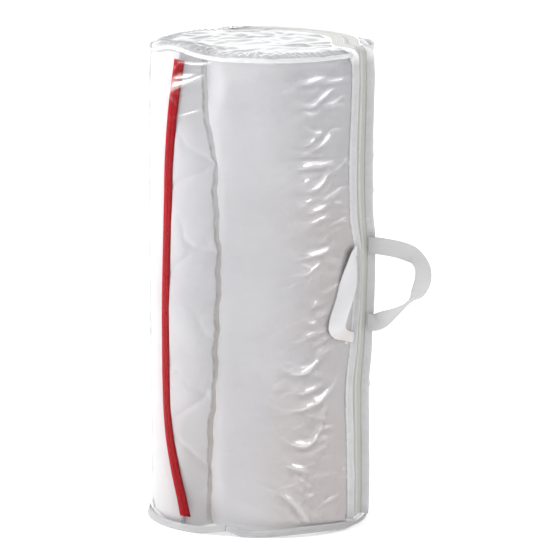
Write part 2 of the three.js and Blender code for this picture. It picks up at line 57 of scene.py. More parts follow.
# The rolled mattress. A foam slab in a quilted white cotton cover, wound up with
# its loose end at the front. The cover's quilting is sewn in diamonds. The loose
# end is a plump face between the red zip and the slab's lower edge.
FOOT = 0.0015
HEIGHT = 0.7
LAYER = 0.042
ROLL_ROOM = 0.007
SWELL, SWELL_WIDTH = 0.0028, 0.02
WALL = [
    # height, the bag's radius there
    (0, 0.1555), (0.01, 0.1585), (0.026, 0.1605), (0.11, 0.1615), (0.23, 0.1635),
    (0.35, 0.1655), (0.64, 0.1655), (0.676, 0.1645), (0.71, 0.161),
]
ZIP_LINE = [
    # share of the height, angle
    (0, -43.5), (0.06, -47.5), (0.12, -53.2), (0.19, -58.7), (0.27, -61.2), (0.41, -61.1),
    (0.55, -59.7), (0.7, -57.9), (0.77, -57.3), (0.87, -54.2), (0.95, -49.7), (1, -48),
]
EDGE_LINE = [
    # share of the height, angle
    (0, -42.5), (0.06, -40.8), (0.12, -40.1), (0.19, -39.1), (0.27, -36.2), (0.41, -33.3),
    (0.55, -31.3), (0.7, -34.2), (0.77, -35), (0.87, -42.2), (0.95, -44.5), (1, -45.5),
]
FLAP_DROP = 0.036
FLAP_PUFF = 1.5
EDGE_TURN = 1.6
GROOVE, GROOVE_TURN = 0.005, 0.9
EASE_TURN = 75
FLAT_DEPTH, FLAT_ANGLE, FLAT_HALF_TURN, FLAT_FADE = 0.01, -17, 38, 0.7


def through(rows, at):
    """The smooth curve through (x, y) rows: a cubic on each span, whose slope at a
    row is that of the line between its two neighbours."""
    x, y = np.array(rows, dtype=float).T
    row = np.arange(len(x))
    before, after = np.maximum(row - 1, 0), np.minimum(row + 1, len(x) - 1)
    slope = (y[after] - y[before]) / (x[after] - x[before])
    at = np.clip(at, x[0], x[-1])
    i = np.clip(np.searchsorted(x, at, side="left") - 1, 0, len(x) - 2)
    span = x[i + 1] - x[i]
    t = (at - x[i]) / span
    return (
        (2 * t**3 - 3 * t**2 + 1) * y[i]
        + (t**3 - 2 * t**2 + t) * span * slope[i]
        + (3 * t**2 - 2 * t**3) * y[i + 1]
        + (t**3 - t**2) * span * slope[i + 1]
    )


def ease(t):
    """0 up to 1 as t goes from 0 to 1, level at both ends."""
    t = np.clip(t, 0, 1)
    return t * t * (3 - 2 * t)


def wrapped(angle):
    """The angle as one within half a turn of 0."""
    return (angle + 180) % 360 - 180


def around(angle, radius, height):
    """Points at an angle round the roll from its front towards its right, a distance
    from its middle, and a height."""
    a = np.radians(angle)
    return np.stack(np.broadcast_arrays(radius * np.sin(a), -radius * np.cos(a), height), -1)


def wall_radius(angle, height):
    """The bag's outer face: its profile at that height, less a bell-shaped flat over
    the loose end, which fades towards the foot and the rim."""
    off = np.abs(wrapped(angle - FLAT_ANGLE)) / FLAT_HALF_TURN
    bell = np.where(off < 1, np.cos(np.minimum(off, 1) * math.pi / 2) ** 2, 0)
    fade = 1 - FLAT_FADE * np.abs(2 * (height - FOOT) / HEIGHT - 1) ** 4
    return through(WALL, height) - FLAT_DEPTH * bell * fade


def waves(seed, count, shortest, longest, across, along):
    """A sum of sines that run in random directions over a surface, about -1 to 1."""
    rng = np.random.default_rng(seed)
    total = np.zeros(np.broadcast(across, along).shape)
    for _ in range(count):
        length = math.exp(rng.uniform(math.log(shortest), math.log(longest)))
        turn, phase = rng.uniform(0, math.pi), rng.uniform(0, 2 * math.pi)
        run = across * math.cos(turn) + along * math.sin(turn)
        total += np.sin(run * 2 * math.pi / length + phase)
    return total / math.sqrt(count)


def grid_mesh(name, points, across, along, closed=False, caps=()):
    """A mesh on a grid of points, rows x columns x 3. A closed grid joins its last
    column to its first. A flat face closes each row that caps names, 0 the first and
    1 the last. across and along become the UV map, in metres."""
    rows, columns = points.shape[:2]
    r, c = np.meshgrid(np.arange(rows - 1), np.arange(columns if closed else columns - 1), indexing="ij")
    corner = [(r, c), (r, c + 1), (r + 1, c + 1), (r + 1, c)]
    faces = np.stack([a * columns + b % columns for a, b in corner], -1).reshape(-1, 4).tolist()
    for cap in caps:
        first = cap * (rows - 1) * columns
        ring = list(range(first, first + columns))
        faces.append(ring if cap else ring[::-1])
    mesh = bpy.data.meshes.new(name)
    mesh.from_pydata(points.reshape(-1, 3).tolist(), [], faces)
    u, v = np.broadcast_arrays(across, along)
    if closed:
        u, v = (np.concatenate([m, m[:, :1]], 1) for m in (u, v))
    uv = np.stack([np.stack([u[a, b], v[a, b]], -1) for a, b in corner], -2).reshape(-1, 2)
    uv = np.concatenate([uv, np.zeros((len(caps) * columns, 2))])
    mesh.uv_layers.new(name="cloth").data.foreach_set("uv", uv.ravel())
    mesh.shade_smooth()
    piece = bpy.data.objects.new(name, mesh)
    bpy.context.collection.objects.link(piece)
    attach(piece, "root")
    return piece


class Wire:
    """A node's output. Sums, products and powers of wires add Math nodes."""

    def __init__(self, nodes, socket):
        self.nodes, self.socket = nodes, socket

    def math(self, operation, *values):
        return self.nodes.node("ShaderNodeMath", {"operation": operation}, values)

    def __add__(self, other):
        return self.math("ADD", self, other)

    def __sub__(self, other):
        return self.math("SUBTRACT", self, other)

    def __rsub__(self, other):
        return self.math("SUBTRACT", other, self)

    def __mul__(self, other):
        return self.math("MULTIPLY", self, other)

    def __pow__(self, other):
        return self.math("POWER", self, other)

    __radd__ = __add__
    __rmul__ = __mul__

    def sine(self):
        return self.math("SINE", self)

    def zigzag(self):
        """Up from 0 to 1 and down again, once every 2."""
        return self.math("PINGPONG", self, 1.0)

    def between(self, low, high):
        """0 where the wire is at low or less, 1 where it is at high or more."""
        ends = {"Value": self, "From Min": low, "From Max": high}
        return self.nodes.node("ShaderNodeMapRange", {"clamp": True}, ends)


class Nodes:
    """A node tree and ways to build in it."""

    def __init__(self, tree):
        self.tree = tree

    def fill(self, node, inputs):
        """Sets a node's sockets to values, or links wires to them."""
        pairs = inputs.items() if isinstance(inputs, dict) else enumerate(inputs)
        for key, value in pairs:
            if isinstance(value, Wire):
                self.tree.links.new(value.socket, node.inputs[key])
            elif isinstance(value, tuple) and len(value) == 3 and node.inputs[key].type == "RGBA":
                node.inputs[key].default_value = (*value, 1)
            else:
                node.inputs[key].default_value = value

    def node(self, kind, settings=None, inputs=(), output=0):
        """Makes a node, sets what it is, then its sockets, and returns one output."""
        node = self.tree.nodes.new(kind)
        for key, value in (settings or {}).items():
            setattr(node, key, value)
        self.fill(node, inputs)
        return Wire(self, node.outputs[output])

    def place(self, output="Object"):
        """Where a point lies: on the object in metres, or on its UV map."""
        return self.node("ShaderNodeTexCoord", output=output)

    def noise(self, scale, detail=2):
        """Soft random patches, about 1 / scale of a metre wide."""
        inputs = {"Vector": self.place(), "Scale": scale, "Detail": detail}
        return self.node("ShaderNodeTexNoise", None, inputs)

    def split(self, vector):
        """A vector's three parts."""
        split = self.node("ShaderNodeSeparateXYZ", None, [vector]).socket.node
        return [Wire(self, socket) for socket in split.outputs]

    def blend(self, factor, first, second):
        """The first colour where the factor is 0, the second where it is 1."""
        return self.node("ShaderNodeMix", {"data_type": "RGBA"}, {0: factor, 6: first, 7: second}, 2)

    def relief(self, height, depth, under=None):
        """A bump of that depth, in metres, from a wire that runs from 0 to 1."""
        inputs = {"Height": height, "Distance": depth, "Strength": 1.0}
        if under:
            inputs["Normal"] = under
        return self.node("ShaderNodeBump", None, inputs)


class Finish(Nodes):
    """A material on a Principled shader."""

    def __init__(self, name, **constants):
        self.material = bpy.data.materials.new(name)
        self.material.use_nodes = True
        super().__init__(self.material.node_tree)
        self.shader = self.tree.nodes["Principled BSDF"]
        named = {k.replace("_", " ").title().replace("Ior", "IOR"): v for k, v in constants.items()}
        self.fill(self.shader, named)

    def wear(self, *pieces):
        """Gives the finish to pieces."""
        for piece in pieces:
            piece.data.materials.clear()
            piece.data.materials.append(self.material)


FLAP_COLUMNS, TURN_COLUMNS, BODY_COLUMNS = 40, 8, 300
SIDE_ROWS, RIM_ROWS, TOP_ROWS = 206, 12, 38
CROWDING = 1.35
RIM = 0.022
VALLEY, VALLEY_HALF = 0.009, 0.012
DIAMOND, FIRST_LINE = 0.113, 0.026
STITCH_WIDTH, PAD_WIDTH, PUCKER_PITCH = 0.006, 0.02, 0.027


def flap_edge(share):
    """The loose end's edge. Two sines, with 12.3 and 29.1 waves in its height, pull it
    in and out by up to 0.85 degrees, and die away at the foot and the rim."""
    ruffle = 0.55 * np.sin(share * 2 * math.pi * 12.3 + 0.6) + 0.3 * np.sin(share * 2 * math.pi * 29.1)
    return through(EDGE_LINE, share) + ruffle * ease(share * 12) * ease((1 - share) * 12)


def roll_angles(share):
    """Columns that run with the zip and the edge: over the loose end's face, down its
    edge, and on round the roll, where they crowd together near the edge."""
    zip_at, edge = through(ZIP_LINE, share), flap_edge(share)
    face = zip_at + (edge - zip_at) * np.linspace(0, 1, FLAP_COLUMNS, endpoint=False)
    turn = edge + EDGE_TURN * np.linspace(0, 1, TURN_COLUMNS, endpoint=False)
    crowded = np.linspace(0, 1, BODY_COLUMNS, endpoint=False) ** CROWDING
    body = edge + EDGE_TURN + (zip_at + 360 - edge - EDGE_TURN) * crowded
    return np.concatenate([face, turn, body], 1)


def flap_dip(angle, share):
    """How far the cover lies below a full round. It falls from the zip to the edge as
    a plump face, drops there to the turn below, and that turn swells back. A narrow
    bell-shaped groove lies at the edge's foot."""
    a, zip_at, edge = wrapped(angle), through(ZIP_LINE, share), flap_edge(share)
    face = FLAP_DROP * np.clip((a - zip_at) / (edge - zip_at), 0, 1) ** FLAP_PUFF
    drop = FLAP_DROP + (LAYER - FLAP_DROP) * ease((a - edge) / EDGE_TURN)
    swell = LAYER * (1 - ease((a - edge - EDGE_TURN) / EASE_TURN))
    groove = GROOVE * np.exp(-(((a - edge - EDGE_TURN) / GROOVE_TURN) ** 2))
    return groove + np.where(a <= edge, face, np.where(a <= edge + EDGE_TURN, drop, swell))


def quilting(across, along, seed):
    """Relief of the quilted cover, 0 at its crowns. Two sets of sewn lines at 45
    degrees cut it into diamonds. Each line is a narrow hollow in a wide one, both
    bell-shaped, wanders a little, and puckers the cloth at a right angle."""
    total = 0
    for sign in (1, -1):
        wander = 0.09 * waves(seed + sign, 5, 0.06, 0.2, across, along)
        line = (across * sign + along - FIRST_LINE) / DIAMOND + wander
        off = np.abs(line - np.round(line)) * DIAMOND
        firm = 0.6 + 0.5 * waves(seed + 3 * sign, 4, 0.08, 0.2, across, along)
        sway = 2 * waves(seed + 7, 4, 0.05, 0.2, across, along)
        pucker = 0.3 * np.sin(2 * math.pi * (across * -sign + along) / PUCKER_PITCH + sway)
        stitch, pad = np.exp(-((off / STITCH_WIDTH) ** 2)), np.exp(-((off / PAD_WIDTH) ** 2))
        total = total + np.clip(firm, 0, 1.3) * (stitch * (1 + pucker) + 0.6 * pad)
    return -total / 1.7


CORNER_ANGLE, CORNER_TURN, CORNER_LIFT = -52, 16, 0.011


def with_corner(points):
    """The points with the loose end's upper corner pushed up, a bell in angle that
    eases in with height and radius. It lifts the bag's rim with it."""
    x, y, z = points[..., 0], points[..., 1], points[..., 2]
    bell = np.exp(-((wrapped(np.degrees(np.arctan2(x, -y)) - CORNER_ANGLE) / CORNER_TURN) ** 2))
    reach = ease((z - 0.6) / 0.09) * ease((np.hypot(x, y) - 0.08) / 0.06)
    return np.stack([x, y, z + CORNER_LIFT * bell * reach], -1)


ZIP_RADIUS, ZIP_CLEAR = 0.16, 0.016
FLAP_QUILTING, TAUT_QUILTING, BACK_QUILTING = 0.004, 0.0005, 0.0022
BAND_ANGLE, BAND_HALF_TURN = 60.4, 17
BULGE, LUMPS = 0.0022, 0.0009
BAG_ROOM, BAND_FILL, BAND_PRESS = 0.0024, 0.0024, 0.0015
FOOT_ROUND = 0.006
TOP_QUILTING, TOP_LUMPS, TOP_SCALE = 0.0016, 0.001, 0.12
ROW_STEP = 0.0033

share = np.linspace(0, 1 - RIM / HEIGHT, SIDE_ROWS)[:, None]
height = FOOT + HEIGHT * share
angle = roll_angles(share)
bearing = wrapped(angle)
zip_arc = np.radians(wrapped(angle - through(ZIP_LINE, share))) * ZIP_RADIUS

# The quilting stands out on the loose end and behind. In front it is pulled taut,
# and by the band the roll fills the bag.
on_flap = (bearing >= through(ZIP_LINE, share)) & (bearing <= flap_edge(share) + 1)
behind = ease((np.abs(wrapped(angle - 60)) - 60) / 60) * (bearing > 60) + (bearing < -75)
softness = np.where(on_flap, FLAP_QUILTING, TAUT_QUILTING + BACK_QUILTING * np.clip(behind, 0, 1))
beside_zip = 1 - np.exp(-((zip_arc / ZIP_CLEAR) ** 2))
relief = softness * quilting(zip_arc, height, 3) + LUMPS * waves(11, 9, 0.05, 0.18, zip_arc, height)

side = through(WALL, height) - ROLL_ROOM - flap_dip(angle, share)
side = side + SWELL * (1 - np.exp(-((zip_arc / SWELL_WIDTH) ** 2)))
side = side + BULGE * ease((bearing - 20) / 25) * ease((170 - bearing) / 40)
side = side + beside_zip * relief
side = side - FOOT_ROUND * np.exp(-(((height - FOOT) / FOOT_ROUND) ** 2))
by_band = np.exp(-(((bearing - BAND_ANGLE) / BAND_HALF_TURN) ** 4))
room = wall_radius(angle, height) - BAG_ROOM + BAND_PRESS * by_band
side = np.minimum(side + BAND_FILL * by_band, room)
shell = [around(angle, side, height)]

# The rim is a quarter round, and the top's valleys lie a layer apart.
top_angle = angle[-1:]
lift = np.linspace(0, math.pi / 2, RIM_ROWS + 1)[1:, None]
shell.append(around(top_angle, side[-1:] - RIM * (1 - np.cos(lift)), height[-1] + RIM * np.sin(lift)))

bearing = wrapped(top_angle)
top_edge = EDGE_LINE[-1][1]
wound = LAYER * (1 - ease((bearing - top_edge - EDGE_TURN) / EASE_TURN))
wound = np.where(bearing > top_edge, wound, 0)
inward = np.linspace(0, 1, TOP_ROWS + 2)[1:-1, None]
radius = (side[-1:] - RIM) * (1 - inward)
turns = (through(WALL, height[-1]) - ROLL_ROOM - radius - wound) / LAYER
valley = np.clip(1 - np.abs(turns - np.maximum(np.round(turns), 1)) * LAYER / VALLEY_HALF, 0, 1)
x, y = radius * np.sin(np.radians(bearing)), radius * np.cos(np.radians(bearing))
puff = TOP_QUILTING * quilting(np.radians(bearing) * TOP_SCALE, radius, 5)
puff = puff + TOP_LUMPS * waves(13, 8, 0.03, 0.1, x, y)
puff = puff * np.clip(radius / 0.06, 0, 1)
shell.append(around(top_angle, radius, FOOT + HEIGHT - VALLEY * valley**2 + puff))

points = with_corner(np.concatenate(shell))
middle_arc = zip_arc[SIDE_ROWS // 2]
EDGE_ARC = float(middle_arc[FLAP_COLUMNS])
rise = np.arange(len(points))[:, None] * ROW_STEP
roll = grid_mesh("quilted_roll", points, middle_arc[None], rise, closed=True, caps=(0, 1))
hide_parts("mattress_roll")

COTTON_DULL, COTTON_WHITE = (0.81, 0.80, 0.82), (0.89, 0.885, 0.90)
COTTON_WARM, COTTON_PAINTED_LIGHT = (0.85, 0.80, 0.785), (0.95, 0.945, 0.96)
PAINTED_EDGE_SHADOW, PAINTED_GAP_SHADE = (0.72, 0.67, 0.63), (0.60, 0.565, 0.52)

cotton = Finish("quilted_cotton", roughness=0.9, sheen_weight=0.25, sheen_roughness=0.5)
x, _, z = cotton.split(cotton.place())
warm = (0.72 - z).between(0.02, 0.3) * (x + 0.06).between(0, 0.14) * cotton.noise(7).between(0.3, 0.6)
warm = warm + 0.5 * (0.38 - z).between(0, 0.25)
# Painted light: the cloth is paler in a band on the body's left, by the loose end, and on its upper left,
# where the light from the left falls.
painted_light = (0.03 - x).between(0, 0.05) * (x + 0.066).between(0, 0.012)
painted_light = painted_light + (z - 0.42).between(0, 0.2) * (0.09 - x).between(0, 0.08)
past_edge = cotton.split(cotton.place("UV"))[0] - EDGE_ARC
# Painted shadow: a soft darker band just past the loose end's edge, full up to 0.3 m high and gone by 0.6
# m.
painted_edge_shadow = 0.4 * past_edge.between(0, 0.002) * (1 - past_edge.between(0.003, 0.022))
painted_edge_shadow = painted_edge_shadow * (1 - (z - 0.3).between(0, 0.3))
# Painted shade: a thin darker line, broken up by noise, right along the loose end's edge, where the gap to
# the turn below lies in shade.
painted_gap_shade = past_edge.between(-0.0006, 0.0006) * (1 - past_edge.between(0.0012, 0.0026))
painted_gap_shade = painted_gap_shade * (0.35 + 0.65 * cotton.noise(70).between(0.35, 0.6))
tone = cotton.blend(cotton.noise(13).between(0.25, 0.75), COTTON_DULL, COTTON_WHITE)
tone = cotton.blend(warm * 0.8, tone, COTTON_WARM)
tone = cotton.blend(painted_light * 0.55, tone, COTTON_PAINTED_LIGHT)
tone = cotton.blend(painted_edge_shadow, tone, PAINTED_EDGE_SHADOW)
tone = cotton.blend(painted_gap_shade, tone, PAINTED_GAP_SHADE)
threads = cotton.node(
    "ShaderNodeTexWave",
    {"wave_type": "BANDS", "bands_direction": "Z"},
    {"Vector": cotton.place(), "Scale": 420, "Distortion": 1.5, "Detail Scale": 3},
)
lint = cotton.relief(cotton.noise(45, 3), 0.0016)
lint = cotton.relief(threads, 0.00012, lint)
lint = cotton.relief(cotton.noise(900), 0.00015, lint)
cotton.fill(cotton.shader, {"Base Color": tone, "Normal": lint})
cotton.wear(roll)


# The cover's red zip. A woven tape lies over the fold, with a moulded coil down
# its middle. Its plated slider is parked at the foot, with the puller laid on it.
COVER_TAPE, COVER_COIL = 0.0185, 0.006
COVER_ZIP_FOOT, COVER_ZIP_TOP = 0.02, 0.68
COVER_RADIUS, SAG = 0.152, 0.35
TAPE_ROWS, COIL_ROWS = 240, 1400
TAPE_LIFT, TAPE_EDGE_DROP, TAPE_BACK = 0.0016, 0.0012, 0.0002
COIL_LIFT, COIL_TALL, COIL_TOOTH, COIL_BACK = 0.0017, 0.0012, 0.00045, 0.0014
PITCH = 0.0028


def cover_zip(offset, lift, rows):
    """Points along the zip's line, at an offset to its side and a lift off the cover.
    Where the cover falls away, on its right, the zip sinks with it by no more than
    SAG of the offset. At the top it curls in with the rim."""
    high = np.linspace(COVER_ZIP_FOOT, COVER_ZIP_TOP, rows)[:, None]
    part = (high - FOOT) / HEIGHT
    angle = through(ZIP_LINE, part) + np.degrees(offset / COVER_RADIUS)
    dip = np.minimum(flap_dip(angle, part), np.maximum(offset, 0) * SAG)
    swell = SWELL * (1 - np.exp(-((offset / SWELL_WIDTH) ** 2)))
    base = through(WALL, high) - ROLL_ROOM - dip + swell
    curl = RIM * (1 - np.sqrt(1 - np.clip((high - HEIGHT - FOOT + RIM) / RIM, 0, 1) ** 2))
    return with_corner(around(angle, base + lift - curl, high))


def there_and_back(across):
    """A row of offsets and the same row back again, for a strip with an underside."""
    return np.concatenate([across, across[::-1]])


def coil_height(along, across, tall, tooth):
    """A coil over its tape: a half round with a groove down its middle, so tall, and
    a tooth each pitch. The right half's teeth stand between the left half's."""
    crown = np.sqrt(np.clip(1 - across**2, 0, 1)) - 0.35 * np.exp(-((across / 0.16) ** 2))
    teeth = tooth * np.abs(np.sin(math.pi * (along + PITCH / 2 * (across > 0)) / PITCH))
    return crown * (tall + teeth)


across = np.linspace(-0.47, 0.53, 11)
offsets = there_and_back(across) * COVER_TAPE
crown = TAPE_LIFT - TAPE_EDGE_DROP * (2 * across - 0.06) ** 8
lifts = np.concatenate([crown, np.full_like(crown, TAPE_BACK)])
along = np.linspace(0, COVER_ZIP_TOP - COVER_ZIP_FOOT, TAPE_ROWS)[:, None]
tape_points = cover_zip(offsets, lifts, TAPE_ROWS)
cover_tape = grid_mesh("red_zip_tape", tape_points, offsets[None], along, closed=True, caps=(0, 1))
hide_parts("cover_zip_tape")

across = np.linspace(-1, 1, 13)
offsets = there_and_back(across) * COVER_COIL / 2
along = np.linspace(0, COVER_ZIP_TOP - COVER_ZIP_FOOT, COIL_ROWS)[:, None]
coil = COIL_LIFT + coil_height(along, across, COIL_TALL, COIL_TOOTH)
lifts = np.concatenate([coil, np.full_like(coil, COIL_BACK)], 1)
coil_points = cover_zip(offsets, lifts, COIL_ROWS)
cover_coil = grid_mesh("red_zip_coil", coil_points, offsets[None], along, closed=True, caps=(0, 1))
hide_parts("cover_zip_coil")

red_cloth = Finish("red_zip_cloth", roughness=0.8, specular_ior_level=0.02)
u = red_cloth.split(red_cloth.place("UV"))[0]
ribs = (u * 2600).sine() * 0.5 + 0.5
# Painted shade: the tape's right side, from 2 mm right of its middle, dips with the falling cover and is
# painted a darker red.
tone = red_cloth.blend(u.between(0.002, 0.010), (0.60, 0.006, 0.016), (0.27, 0.002, 0.006))
red_cloth.fill(red_cloth.shader, {"Base Color": tone, "Normal": red_cloth.relief(ribs, 0.0002)})
red_cloth.wear(cover_tape)
red_plastic = Finish("red_zip_plastic", roughness=0.45, specular_ior_level=0.06)
tone = red_plastic.blend(red_plastic.noise(300), (0.46, 0.004, 0.011), (0.56, 0.007, 0.016))
red_plastic.fill(red_plastic.shader, {"Base Color": tone})
red_plastic.wear(cover_coil)

# The two zips' sliders and pullers. Die-cast, plated, and a little scuffed. They
# are the solids as they stand, in a finish of their own.
plated = Finish("plated_zip_metal", metallic=1.0)
scuff = plated.noise(500, 4)
tone = plated.blend(scuff, (0.62, 0.63, 0.66), (0.78, 0.79, 0.81))
plated.fill(plated.shader, {"Base Color": tone, "Roughness": scuff * 0.25 + 0.2})
for name in ("cover_zip_slider", "cover_zip_puller", "bag_zip_slider", "bag_zip_puller"):
    plated.wear(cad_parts[name])


# The bag's zipped band. It climbs the right side, crosses the rim and runs round
# the top, where its slider is parked at the far end. A greyish tape carries a
# white coil, and each edge is sewn into a bound seam.
FILM = 0.0012
BAG_RADIUS = 0.165
BAND_WAVE = [
    # share of the height, how far the band strays from its angle
    (0, 1.5), (0.16, 0), (0.3, -2.3), (0.39, 0.6), (0.58, 2.8), (0.66, -0.8), (0.76, -1.9),
    (0.9, -0.4), (1, 0.6),
]
BAND_FOOT, BAND_TURN = 0.015, 0.68
BAND_TAPE, BAND_SEAM = 0.0372, 0.0191
TOP_RADIUS = 0.1215
RIM_ROUTE = [
    # angle, radius, height, tilt of the way out above level
    (61, 0.1632, 0.69, 4),
    (61.2, 0.1622, 0.6965, 22),
    (61.4, 0.159, 0.7012, 50),
    (61.8, 0.153, 0.7042, 76),
    (62.8, 0.145, 0.7046, 90),
    (68, 0.133, 0.7042, 90),
    (77, 0.125, 0.7042, 90),
    (90, 0.122, 0.7042, 90),
    (205, 0.121, 0.7042, 90),
]


def band_angle(height):
    """The band's middle at a height on the wall."""
    return BAND_ANGLE + through(BAND_WAVE, (height - FOOT) / HEIGHT)


def run_length(points):
    """How far along a line each of its points is."""
    return np.concatenate([[0], np.cumsum(np.linalg.norm(np.diff(points, axis=0), axis=1))])


def unit(ways):
    """The same ways, each of length 1."""
    return ways / np.linalg.norm(ways, axis=1, keepdims=True)


def band_route(spacing):
    """The band's middle line from the foot to its far end on top, evenly spaced: how
    far along, the points, the way across, the way out and its tilt. It follows the
    wall, then a smooth curve through the rim's rows, whose last span is an arc."""
    high = np.linspace(BAND_FOOT, BAND_TURN, 160)
    wall = np.stack([band_angle(high), wall_radius(band_angle(high), high) - FILM / 2, high, high * 0], -1)
    rows = np.array([wall[-1], *RIM_ROUTE])
    steps = run_length(around(rows[:, 0], rows[:, 1], rows[:, 2]))
    steps[-1] = steps[-2] + math.radians(rows[-1, 0] - rows[-2, 0]) * TOP_RADIUS
    at = np.linspace(0, steps[-1], 200)[1:]
    over = np.stack([through(np.stack([steps, rows[:, k]], -1), at) for k in range(4)], -1)
    route = np.concatenate([wall, over])
    points = around(route[:, 0], route[:, 1], route[:, 2])
    length = run_length(points)
    even = np.arange(0, length[-1], spacing)
    points = np.stack([np.interp(even, length, points[:, k]) for k in range(3)], -1)
    angle, tilt = (np.interp(even, length, route[:, k]) for k in (0, 3))
    ahead = unit(np.gradient(points, axis=0))
    level, upright = np.cos(np.radians(tilt))[:, None], np.sin(np.radians(tilt))[:, None]
    out = around(angle, 1, 0) * level + np.array([0, 0, 1]) * upright
    beside = unit(np.cross(ahead, out))
    out = np.cross(beside, ahead)
    return even, points, beside, out, tilt


def along_band(spacing, offsets, lifts):
    """A grid that follows the band: each row is the same section, offsets across and
    lifts outwards, less the sag that bends it to the wall's curve."""
    even, points, beside, out, tilt = band_route(spacing)
    offsets, lifts = np.broadcast_arrays(offsets, lifts)
    offsets, lifts = (np.broadcast_to(m, (len(even), m.shape[-1])) for m in (offsets, lifts))
    sag = offsets**2 / (2 * BAG_RADIUS) * np.clip(1 - tilt / 45, 0, 1)[:, None]
    grid = points[:, None] + beside[:, None] * offsets[..., None] + out[:, None] * (lifts - sag)[..., None]
    return even[:, None], grid


TAPE_STEP, COIL_STEP = 0.004, 0.0007
BAND_COIL = 0.0065
TAPE_FACE, TAPE_UNDERSIDE = 0.0006, -0.0004
TEETH_LIFT, TEETH_TALL, TEETH_RIPPLE, TEETH_BACK = 0.0007, 0.0015, 0.0006, 0.0004

across = np.linspace(-0.5, 0.5, 17)
offsets = there_and_back(across) * BAND_TAPE
lifts = np.repeat([TAPE_FACE, TAPE_UNDERSIDE], len(across))
along, tape_points = along_band(TAPE_STEP, offsets, lifts)
band_tape = grid_mesh("bag_zip_cloth", tape_points, offsets[None], along, closed=True, caps=(0, 1))
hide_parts("bag_zip_tape")

across = np.linspace(-1, 1, 13)
offsets = there_and_back(across) * BAND_COIL / 2
coil = TEETH_LIFT + coil_height(band_route(COIL_STEP)[0][:, None], across, TEETH_TALL, TEETH_RIPPLE)
lifts = np.concatenate([coil, np.full_like(coil, TEETH_BACK)], 1)
along, coil_points = along_band(COIL_STEP, offsets, lifts)
band_coil = grid_mesh("bag_zip_teeth", coil_points, offsets[None], along, closed=True, caps=(0, 1))
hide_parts("bag_zip_coil")

# The tape is paler where it runs round the top: painted light, the glare from above.
tape_cloth = Finish("bag_zip_cloth", roughness=0.75)
cords = (tape_cloth.split(tape_cloth.place("UV"))[0] * 1900).sine() * 0.5 + 0.5
painted_glare = tape_cloth.split(tape_cloth.place())[2].between(0.697, 0.703)
tone = tape_cloth.blend(cords, (0.42, 0.42, 0.39), (0.57, 0.565, 0.53))
tone = tape_cloth.blend(painted_glare * 0.6, tone, (0.76, 0.76, 0.75))
weave = tape_cloth.relief(cords, 0.0004, tape_cloth.relief(tape_cloth.noise(700), 0.0002))
tape_cloth.fill(tape_cloth.shader, {"Base Color": tone, "Normal": weave})
tape_cloth.wear(band_tape)
coil_plastic = Finish("white_zip_plastic", roughness=0.35)
tone = coil_plastic.blend(coil_plastic.noise(200), (0.50, 0.50, 0.48), (0.6, 0.6, 0.58))
coil_plastic.fill(coil_plastic.shader, {"Base Color": tone})
coil_plastic.wear(band_coil)


# Bindings. Woven white tape folded over each seam and sewn through. Two run up
# the band's edges and stand out as fins, two close the rim and one the foot.
FIN_THICK, FIN_FLANGE, FIN_ROOT = 0.0026, 0.0072, 0.0028
FIN_STEP = 0.004
FLANGE_TALL = 0.0032


def fin_section(thick, tall, columns=16, flange=0):
    """A folded tape's outline, from its root out: a circle's cosine and sine, each to
    the power 0.7, so that it is a flat loop with round ends. A flange spreads its
    foot to one side, less and less as it rises."""
    turn = np.linspace(0, 2 * math.pi, columns, endpoint=False)
    across, out = np.cos(turn), np.sin(turn)
    across = np.sign(across) * np.abs(across) ** 0.7 * thick / 2
    out = (np.sign(out) * np.abs(out) ** 0.7 + 1) * tall / 2
    spread = np.where(across * flange > 0, flange, 0) * np.exp(-((out / FLANGE_TALL) ** 2))
    around_it = np.cumsum(np.full(columns, 2 * (thick + tall) / columns))
    return across + spread, out, around_it


def bound(piece):
    """The piece, returned as it is."""
    return piece


def band_fin(name, offset, tall, lean):
    """A bound seam along the band, leaning away from the band's middle by lean for
    each unit of height, and wandering a little. It sinks to about a third of its
    height on top."""
    across, out, around_it = fin_section(FIN_THICK, tall, 40, math.copysign(FIN_FLANGE, offset))
    even, _, _, _, tilt = band_route(FIN_STEP)
    along = even[:, None]
    sink = 1 - 0.65 * ease(tilt / 80)[:, None]
    wander = 0.06 * waves(21, 5, 0.03, 0.12, along, along * 0)
    offsets = offset + across[None] + (wander + math.copysign(lean, offset) * sink) * out[None]
    points = along_band(FIN_STEP, offsets, out[None] * sink - FIN_ROOT)[1]
    return bound(grid_mesh(name, points, around_it[None], along, closed=True, caps=(0, 1)))


def loop_fin(name, angles, root, lean, tall, thick):
    """A bound seam round the bag. root gives each angle's (radius, height), lean its
    slant from upright in degrees, outwards positive, and tall its height."""
    across, out, around_it = fin_section(thick, 1)
    slant = np.radians(lean)
    radius, height = root
    grid_r = radius[:, None] + across[None] * np.cos(slant) + out[None] * tall[:, None] * np.sin(slant)
    grid_z = height[:, None] - across[None] * np.sin(slant) + out[None] * tall[:, None] * np.cos(slant)
    points = with_corner(around(angles[:, None], grid_r, grid_z))
    along = np.radians(angles - angles[0])[:, None] * BAG_RADIUS
    return bound(grid_mesh(name, points, around_it[None], along, closed=True, caps=(0, 1)))


RIM_HEIGHT, RIM_RADIUS = 0.693, 0.163
RIM_JOIN = -42
RIM_TALL = 0.0068
RIM_BAND = float(band_angle(RIM_HEIGHT))
SEAM_TURN = math.degrees((BAND_SEAM + 0.004) / RIM_RADIUS)

front_fin = band_fin("front_seam_binding", -BAND_SEAM, 0.0118, 0)
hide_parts("binding_front_seam")
rear_fin = band_fin("rear_seam_binding", BAND_SEAM, 0.0145, 0.35)
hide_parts("binding_rear_seam")


